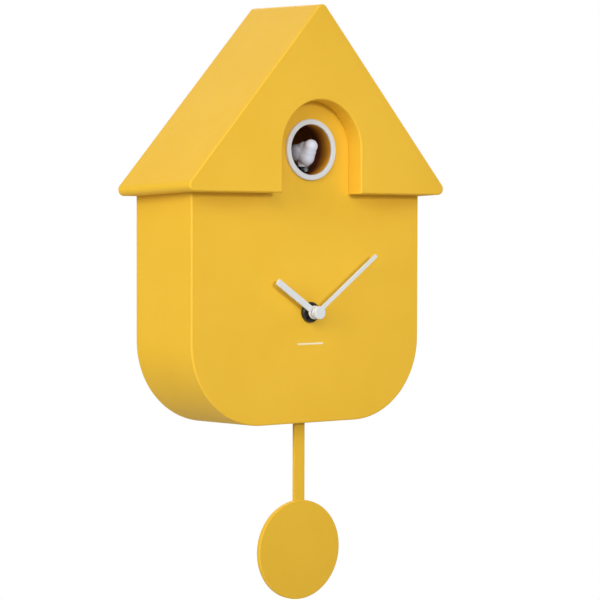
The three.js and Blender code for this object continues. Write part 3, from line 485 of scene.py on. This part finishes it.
SLOTS = {
    "yellow": YELLOW,
    "light_grey": LIGHT_GREY,
    "bird_grey": BIRD_GREY,
    "black": BLACK,
    "white_plastic": WHITE_PLASTIC,
    "brass": BRASS,
    "steel": STEEL,
    "copper": COPPER,
    "board": BOARD,
    "paper": PAPER,
    "magnet": MAGNET,
}


def paint(obj, mat):
    obj.data.materials.clear()
    obj.data.materials.append(mat)
    return obj


def piece(obj, body, slot, mat, *nodes):
    """Finishes a new piece: its material, the body that it rides on, and the CAD nodes that it stands for."""
    paint(obj, mat)
    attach(obj, body)
    if nodes:
        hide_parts(*nodes)
    return obj


# ---------------------------------------------------------------- the roof and the body
slope = math.atan2(ROOF["height"], ROOF["width"] / 2)


def roof_outline(inset=0.0, less=0.0):
    """The roof's section: the triangle grows towards the wall while its corners keep their radii."""

    def section(t, grow):
        inwards = inset - ROOF["draft"] * t
        half = ROOF["width"] / 2 - inwards / math.tan(slope / 2)
        bottom = EAVE_Z + inwards
        eave, ridge = ROOF["eave"] - less, ROOF["ridge"] - less
        corners = [(-half, bottom, eave), (half, bottom, eave), (0, bottom + half * math.tan(slope), ridge)]
        return rounded_outline(corners, grow, 44)

    return section


def body_corners(inset):
    half = BODY["width"] / 2 - inset
    bottom = BODY_BOTTOM + inset
    apex = EAVE_Z + ROOF["height"] - (GABLE_GAP + inset) / math.cos(slope)
    shoulder = apex - half * math.tan(slope)
    round_corner = BODY["corner"] - inset
    return [
        (-half, bottom, round_corner),
        (half, bottom, round_corner),
        (half, shoulder, 3),
        (0, apex, 3),
        (-half, shoulder, 3),
    ]


def body_outline(inset=0.0):
    return lambda t, grow: rounded_outline(body_corners(inset), BODY["draft"] * t + grow, 48)


def arch_outline(half, foot, steps=64):
    z = PORTHOLE["z"]
    arc = [(half * math.cos(a), z + half * math.sin(a)) for a in np.linspace(0, math.pi, steps + 1)]
    return [(-half, foot), (half, foot), *arc]


def build_roof():
    """The roof shell: hollow from behind, with the arch's jamb and the way through for the body."""
    outer = moulded("roof", roof_outline(), ROOF_FRONT, 0, EDGE, 0.7)
    inner = moulded("roof_hollow", roof_outline(WALL, 2), ROOF_FRONT + WALL, 1)
    jamb_back = BODY_FRONT - GAP
    reach = ARCH["half"] + ARCH["jamb"]
    jamb = loft("jamb", [ring_at(arch_outline(reach, EAVE_Z + 0.5), y) for y in (ROOF_FRONT + 2, jamb_back)])
    # The opening flares into the roof's face, which rounds the arch's front edge.
    rings = []
    for k in range(EDGE_STEPS + 1):
        a = math.pi / 2 * k / EDGE_STEPS
        y = ROOF_FRONT + EDGE * (1 - math.cos(a))
        rings.append(ring_at(arch_outline(ARCH["half"] + EDGE * (1 - math.sin(a)), EAVE_Z - 9), y))
    first = [(x, ROOF_FRONT - 3, z) for x, _, z in rings[0]]
    last = [(x, jamb_back + 1, z) for x, _, z in rings[-1]]
    opening = loft("opening", [first, *rings, last])
    body_way = moulded("body_way", body_outline(-GAP), BODY_FRONT - GAP, 1)
    roof = cut(outer, inner)
    join(roof, jamb)
    cut(roof, opening, body_way)
    return smooth(roof)


COVER_SCREWS = [
    (-72, EAVE_Z - 8),
    (72, EAVE_Z - 8),
    (-72, EAVE_Z - 104),
    (72, EAVE_Z - 104),
    (0, EAVE_Z + 92),
]
FRAME_POSTS = [(-26, PORTHOLE["z"] - 26), (26, PORTHOLE["z"] - 26)]
BOSS_R, BOSS_END = 4, -2.7
POST_R, POST_END = 3.5, -46.3
PILOT_R = 1.65
BOSS_ROOT = BODY_FRONT + 1.2  # inside the dial's wall


def build_body():
    """The body shell: hollow from behind, with screw bosses, two posts and its openings."""
    outer = moulded("body", body_outline(), BODY_FRONT, 0, EDGE, 0.5)
    inner = moulded("body_hollow", body_outline(WALL), BODY_INSIDE, 1)
    body = cut(outer, inner)
    bosses = [disc("boss", BOSS_R, BOSS_ROOT, BOSS_END, x, z, 32) for x, z in COVER_SCREWS]
    bosses += [disc("post", POST_R, BOSS_ROOT, POST_END, x, z, 32) for x, z in FRAME_POSTS]
    join(body, *bosses)
    holes = [disc("hole", PILOT_R, BOSS_END - 12, 1, x, z, 20) for x, z in COVER_SCREWS]
    holes += [disc("hole", PILOT_R, -56, -44, x, z, 20) for x, z in FRAME_POSTS]
    through = (BODY_FRONT - 1, BODY_INSIDE + 1)
    holes.append(disc("hole", PORTHOLE["sleeve"] + GAP, *through, 0, PORTHOLE["z"], 96))
    holes.append(disc("hole", BUSH_HOLE, *through, 0, DIAL_Z, 48))
    holes.append(box("slot", -10, 10, -59.5, -47, BODY_BOTTOM - 5, BODY_BOTTOM + 12))
    cut(body, *holes)
    return smooth(body)


piece(build_roof(), "clock", "yellow", YELLOW, "roof_shell")
piece(build_body(), "clock", "yellow", YELLOW, "body_shell")

# ---------------------------------------------------------------- porthole and bird
LIP_BACK = BODY_FRONT - PORTHOLE["proud"] + 1.6


def build_ring():
    """The porthole's ring: a rounded flange, with a sleeve that passes through the body's wall."""
    inner, outer, sleeve = PORTHOLE["inner"], PORTHOLE["outer"], PORTHOLE["sleeve"]
    front, back = BODY_FRONT - PORTHOLE["proud"], BODY_INSIDE + GAP
    rim = [(inner, LIP_BACK), (inner, front), (outer, front), (outer, BODY_FRONT - GAP)]
    flange = fillet(rim, 0.85, 6, closed=False)
    seat = [(sleeve, BODY_FRONT - GAP), (sleeve, back), (sleeve - 0.9, back), (sleeve - 0.9, LIP_BACK)]
    return smooth(turned("porthole_trim", [*flange, *seat], 0, PORTHOLE["z"], 128))


def build_tunnel():
    """The tube behind the ring, with a collar against the inside of the body's wall."""
    r, collar = PORTHOLE["tunnel"], BODY_INSIDE + 2 * GAP
    front, back = LIP_BACK + GAP, -47
    profile = [
        (r, front),
        (r + 1.2, front),
        (r + 1.2, collar),
        (r + 4.7, collar),
        (r + 4.7, collar + 1.4),
        (r + 1.2, collar + 1.4),
        (r + 1.2, back),
        (r, back),
    ]
    return smooth(turned("nest_tunnel", fillet(profile, 0.25, 2), 0, PORTHOLE["z"], 128))


def ball(name, rx, ry, rz, y, z, x=0.0):
    bm = bmesh.new()
    bmesh.ops.create_uvsphere(bm, u_segments=48, v_segments=32, radius=1)
    bmesh.ops.scale(bm, vec=(rx, ry, rz), verts=bm.verts)
    bmesh.ops.translate(bm, vec=(x, y, z), verts=bm.verts)
    return new_object(name, bm)


def build_bird():
    """A smooth plump bird: balls and a flat tail, fused on a fine grid and relaxed."""
    z = PORTHOLE["z"]
    floor = z - 11.3
    front = BODY_FRONT
    bird = ball("cuckoo", 4.7, 4.7, 4.7, front - 1.3, z + 2.4)
    tail = loft(
        "tail",
        [
            ring_at([(-2.2, z - 5), (2.2, z - 5), (2.2, z - 0.8), (-2.2, z - 0.8)], front + 18),
            ring_at([(-3, z - 3.8), (3, z - 3.8), (3, z - 1.6), (-3, z - 1.6)], front + 29),
        ],
    )
    join(
        bird,
        ball("throat", 4.9, 5.2, 5.6, front + 0.9, z - 0.6),
        ball("breast", 5.6, 7.0, 7.6, front + 4.2, z - 3.5),
        ball("nape", 4.9, 6.4, 5.6, front + 5.4, z + 0.2),
        ball("shoulder", 5.5, 7.0, 6.9, front + 9.6, z - 2.0),
        ball("back", 5.6, 8.6, 7.2, front + 14.4, z - 2.8),
        foot(front + 7.2, floor - 1, z - 5),
        tail,
        *[ball("wing", 2.8, 8.5, 5.4, front + 11, z - 2.4, side * 3.9) for side in (-1, 1)],
    )
    remesh = bird.modifiers.new("remesh", "REMESH")
    remesh.mode = "VOXEL"
    remesh.voxel_size = 0.4 * MM
    soft = bird.modifiers.new("soft", "SMOOTH")
    soft.factor = 0.5
    soft.iterations = 24
    graph = bpy.context.evaluated_depsgraph_get()
    mesh = bpy.data.meshes.new_from_object(bird.evaluated_get(graph))
    bird.modifiers.clear()
    bird.data = mesh
    cut(bird, box("under", -20, 20, -FAR, 0, floor - 20, floor))
    return smooth(bird, 50)


def foot(y, z0, z1):
    """A cylinder along Z under the breast."""
    circle = [(3.9 * math.cos(a), y + 3.9 * math.sin(a)) for a in np.linspace(0, 2 * math.pi, 40, False)]
    return loft("foot", [[(a, b, z) for a, b in circle] for z in (z0, z1)])


piece(build_ring(), "clock", "light_grey", LIGHT_GREY, "porthole_ring")
# The passage's material carries painted shade: its colour darkens to brown with depth into the tunnel.
PASSAGE_PAINTED_SHADE = passage("passage_painted_shade", LIP_BACK + 1, LIP_BACK + 13)
piece(build_tunnel(), "clock", "yellow", PASSAGE_PAINTED_SHADE, "porthole_tunnel")
piece(build_bird(), "bird", "bird_grey", BIRD_GREY, "bird")

# ---------------------------------------------------------------- hands
HOUR_Y = BODY_FRONT - 6.9
MINUTE_Y = BODY_FRONT - 10.2
CAP_R = 4.4
HOURS = 10
MINUTES = 8.8
minute_angle = math.pi / 2 - MINUTES / 60 * 2 * math.pi
hour_angle = math.pi / 2 - (HOURS + MINUTES / 60) / 12 * 2 * math.pi


def build_hand(name, angle, length, width, tail, hub, bore, y, thick):
    """A flat hand with square ends and a stepped hub, its edges just broken."""
    hand = box(name, -tail, length, y, y + thick, -width / 2, width / 2)
    join(hand, disc("hub", hub, y + 0.05, y + thick - 0.05, 0, 0, 64))
    cut(hand, disc("bore", bore, y - 1, y + thick + 1, 0, 0, 48))
    turn = Matrix.Translation((0, 0, DIAL_Z * MM)) @ Matrix.Rotation(-angle, 4, "Y")
    hand.data.transform(turn)
    soften(hand, 0.22, 3)
    return hand


def build_cap():
    """The turned cap over the hands, with a groove that parts its face from its skirt."""
    tip = BODY_FRONT - 12.7
    base = MINUTE_Y - GAP
    groove, skirt = CAP_R - 0.8, CAP_R - 0.1
    profile = [
        (0, tip),
        (CAP_R, tip),
        (CAP_R, tip + 1),
        (groove, tip + 1.1),
        (groove, tip + 1.4),
        (skirt, tip + 1.5),
        (skirt, base),
        (0, base),
    ]
    return smooth(turned("hand_cap_turned", fillet(profile, 0.45, 5), 0, DIAL_Z, 72))


def build_nut():
    """The round nut on the dial, chamfered, with four notches for a spanner."""
    front, back = BODY_FRONT - 3.2, BODY_FRONT - GAP
    profile = [(4.1, front), (6.3, front), (7, front + 0.8), (7, back), (4.1, back)]
    nut = turned("dial_nut_turned", profile, 0, DIAL_Z, 72)
    for a in [(i * math.pi / 2) + math.pi / 4 for i in range(4)]:
        x, z = 5.4 * math.cos(a), DIAL_Z + 5.4 * math.sin(a)
        cut(nut, disc("notch", 1, front - 1, front + 1.6, x, z, 24))
    soften(nut, 0.18, 2)
    return nut


piece(
    build_hand("hour_hand_bar", hour_angle, 37.6, 4.2, 3.5, 4.6, 2.6, HOUR_Y, 1.5),
    "hour_hand",
    "light_grey",
    LIGHT_GREY,
    "hour_hand",
)
piece(
    build_hand("minute_hand_bar", minute_angle, 63.3, 2.5, 3, 4.2, 1.8, MINUTE_Y, 1.4),
    "minute_hand",
    "light_grey",
    LIGHT_GREY,
    "minute_hand",
)
piece(build_cap(), "minute_hand", "light_grey", LIGHT_GREY, "hand_cap")
piece(build_nut(), "clock", "black", BLACK, "dial_nut")

# A plain printed bar stands where such clocks carry a name.
MARK_Z = DIAL_Z - 21.5
MARK_X = (-10, 12)
MARK_HALF = 0.65
mark_corners = [
    (MARK_X[0], MARK_Z - MARK_HALF, 0.6),
    (MARK_X[1], MARK_Z - MARK_HALF, 0.6),
    (MARK_X[1], MARK_Z + MARK_HALF, 0.6),
    (MARK_X[0], MARK_Z + MARK_HALF, 0.6),
]
mark_outline = rounded_outline(mark_corners, 0, 24)
mark = loft("dial_mark", [ring_at(mark_outline, BODY_FRONT - lift) for lift in (0.06, 0.005)])
piece(smooth(mark), "clock", "light_grey", MARK)

# ---------------------------------------------------------------- pendulum
PENDULUM_Y = -53.2
DISC_Z = EAVE_Z - 244.2
DISC_R = 34.1
ROD_HALF = 4.35
ROD_T = 2.4
ROD_FOOT = DISC_Z + DISC_R - 6
ARM_FOOT = -193.7
STRAP = (-51.4, -50.0)


def build_rod():
    """The flat rod: it steps back at its top, where an eye takes the swing arm's hook."""
    y0, y1 = PENDULUM_Y - ROD_T / 2, PENDULUM_Y + ROD_T / 2
    rod = box("pendulum_strap", -ROD_HALF, ROD_HALF, y0, y1, ROD_FOOT, ARM_FOOT - 1)
    join(
        rod,
        box("shelf", -ROD_HALF, ROD_HALF, y0, STRAP[1], ARM_FOOT - 3, ARM_FOOT - 0.9),
        box("tongue", -ROD_HALF, ROD_HALF, *STRAP, ARM_FOOT - 2, ARM_FOOT + 8),
    )
    cut(rod, box("eye", -2.9, 2.9, -FAR, 0, ARM_FOOT - 0.5, ARM_FOOT + 2.4))
    return soften(rod, 0.45, 3)


def build_disc():
    """The pendulum's round disc, with a socket for the foot of the rod."""
    y0, y1 = PENDULUM_Y - 1.8, PENDULUM_Y + 1.8
    profile = fillet([(0, y0), (DISC_R, y0), (DISC_R, y1), (0, y1)], 0.9, 6)
    bob = turned("pendulum_bob", profile, 0, DISC_Z, 160)
    half, depth = ROD_HALF + 0.2, ROD_T / 2 + 0.12
    socket = (-half, half, PENDULUM_Y - depth, PENDULUM_Y + depth, ROD_FOOT - GAP, DISC_Z + DISC_R + 5)
    cut(bob, box("socket", *socket))
    return smooth(bob)


piece(build_rod(), "pendulum", "yellow", YELLOW, "pendulum_rod")
piece(build_disc(), "pendulum", "yellow", YELLOW, "pendulum_disc")

# ---------------------------------------------------------------- CAD nodes that stay
ROUNDED = {
    "back_cover": 0.5,
    "battery_door": 0.4,
    "hanger_plate": 0.3,
    "movement_back": 0.4,
    "movement_case": 0.4,
    "setting_knob": 0.25,
    "bird_carriage": 0.25,
    "pendulum_drive": 0.4,
    "cuckoo_chassis": 0.3,
    "volume_switch": 0.35,
    "night_switch": 0.35,
    "swing_arm": 0.3,
    "sound_chip": 0.2,
    "sound_board": 0.15,
    "timing_board": 0.15,
    "cuckoo_motor": 0.4,
    "centre_bush": 0.2,
    "speaker_frame": 0.25,
    "speaker_magnet": 0.4,
    "swing_magnet": 0.3,
    "contact_bridge": 0.1,
    "contact_plus": 0.1,
    "contact_minus": 0.1,
    "movement_battery": 0.25,
    "sound_battery_1": 0.25,
    "sound_battery_2": 0.25,
    "pivot_pin": 0.15,
    "quartz_crystal": 0.3,
    "stepper_stator": 0.2,
}
slot_of = {row["node"]: row["material_slot"] for row in frame["record"]["subparts"]}
for name, obj in frame["nodes"].items():
    if obj.hide_render:
        continue
    if slot_of[name] == "battery":
        low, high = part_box(name)
        axis = "X" if name == "movement_battery" else "Z"
        i = "XYZ".index(axis)
        sign = -1 if name == "sound_battery_2" else 1
        paint(obj, cell_sleeve(name + "_sleeve", axis, (low[i] + high[i]) / 2, sign * (high[i] - low[i]) / 2))
    elif name in ("back_cover", "battery_door"):
        paint(obj, YELLOW_REAR)
    else:
        paint(obj, SLOTS[slot_of[name]])
    soften(obj, ROUNDED.get(name, 0.12), 2 if ROUNDED.get(name, 0) > 0.2 else 1)

# ---------------------------------------------------------------- floor, light and camera
AMBIENT = 0.23
FLOOR_Z = -1300
FLOOR_R = 2500
SPOT_CONE = 13.4  # degrees
SPOT_BLEND = 0.55
CAMERA_TURN = (36.69, 1.97, 0.14)  # yaw, pitch and roll in degrees
CAMERA_AIM_X = -7.88
CAMERA_AIM_Z = EAVE_Z - 72.31
CAMERA_DISTANCE = 1.40078  # metres
CAMERA_LENS = 124.05


def stage_floor():
    bm = bmesh.new()
    bmesh.ops.create_circle(bm, cap_ends=True, segments=96, radius=FLOOR_R)
    bmesh.ops.translate(bm, vec=(0, 0, FLOOR_Z), verts=bm.verts)
    floor = new_object("floor", bm)
    f = Finish("floor_paint")
    f.set(
        Base_Color=f.mix(f.span(f.noise(3), 0, 1), (0.84, 0.84, 0.83), (0.81, 0.81, 0.80)),
        Roughness=f.span(f.noise(30), 0.7, 0.85),
    )
    paint(floor, f.mat)


def lamp(name, kind, azimuth, elevation, distance, size, strength, aim=-0.1):
    """A soft lamp aimed at the clock, at a strength that a white card there would show.

    The size is an area lamp's diameter or a spot's radius. The spot's beam fades out towards the pendulum.
    """
    light = bpy.data.lights.new(name, kind)
    if kind == "AREA":
        light.shape = "DISK"
        light.size = size
        light.energy = strength * (math.pi * distance) ** 2
    else:
        light.shadow_soft_size = size
        light.spot_size = math.radians(SPOT_CONE)
        light.spot_blend = SPOT_BLEND
        light.energy = 4 * strength * (math.pi * distance) ** 2
    obj = bpy.data.objects.new(name, light)
    a, e = math.radians(azimuth), math.radians(elevation)
    away = Vector((math.sin(a) * math.cos(e), -math.cos(a) * math.cos(e), math.sin(e)))
    obj.location = Vector((0, -0.05, aim)) + away * distance
    obj.rotation_euler = away.to_track_quat("Z", "Y").to_euler()
    obj.visible_camera = False
    bpy.context.scene.collection.objects.link(obj)


def studio():
    scene = bpy.context.scene
    world = bpy.data.worlds.new("studio")
    world.use_nodes = True
    tree = world.node_tree
    background = tree.nodes["Background"]
    background.inputs["Color"].default_value = (1, 1, 1, 1)
    seen = tree.nodes.new("ShaderNodeLightPath").outputs["Is Camera Ray"]
    level = tree.nodes.new("ShaderNodeMapRange")
    level.inputs["To Min"].default_value = AMBIENT
    level.inputs["To Max"].default_value = 1.0
    tree.links.new(seen, level.inputs["Value"])
    tree.links.new(level.outputs["Result"], background.inputs["Strength"])
    scene.world = world
    lamp("key", "SPOT", -9, 12, 2.6, 0.3, 0.54, -0.08)
    lamp("front_fill", "AREA", -38, 32, 2.4, 1.2, 0.24)
    lamp("side", "AREA", -76, 16, 2.0, 1.1, 0.61)
    lamp("right_fill", "AREA", 80, 25, 2.4, 1.2, 0.3)
    lamp("back_fill", "AREA", 157, 30, 2.4, 1.4, 0.42)
    scene.view_settings.view_transform = "Standard"
    scene.view_settings.look = "None"
    scene.view_settings.exposure = 0
    scene.view_settings.gamma = 1


def camera():
    """A camera at the photograph's viewpoint, to the left of the dial's normal and just above it."""
    yaw, pitch, roll = (math.radians(angle) for angle in CAMERA_TURN)
    level = math.cos(pitch)
    forward = Vector((math.sin(yaw) * level, math.cos(yaw) * level, -math.sin(pitch)))
    right = forward.cross(Vector((0, 0, 1))).normalized()
    up = right.cross(forward)
    turned_right = right * math.cos(roll) + up * math.sin(roll)
    turned_up = up * math.cos(roll) - right * math.sin(roll)
    target = Vector((CAMERA_AIM_X, BODY_FRONT, CAMERA_AIM_Z)) * MM
    data = bpy.data.cameras.new("camera")
    data.lens = CAMERA_LENS
    data.sensor_width = 36
    obj = bpy.data.objects.new("camera", data)
    basis = Matrix((turned_right, turned_up, -forward)).transposed()
    obj.matrix_world = Matrix.Translation(target - forward * CAMERA_DISTANCE) @ basis.to_4x4()
    bpy.context.scene.collection.objects.link(obj)
    bpy.context.scene.camera = obj


stage_floor()
studio()
camera()
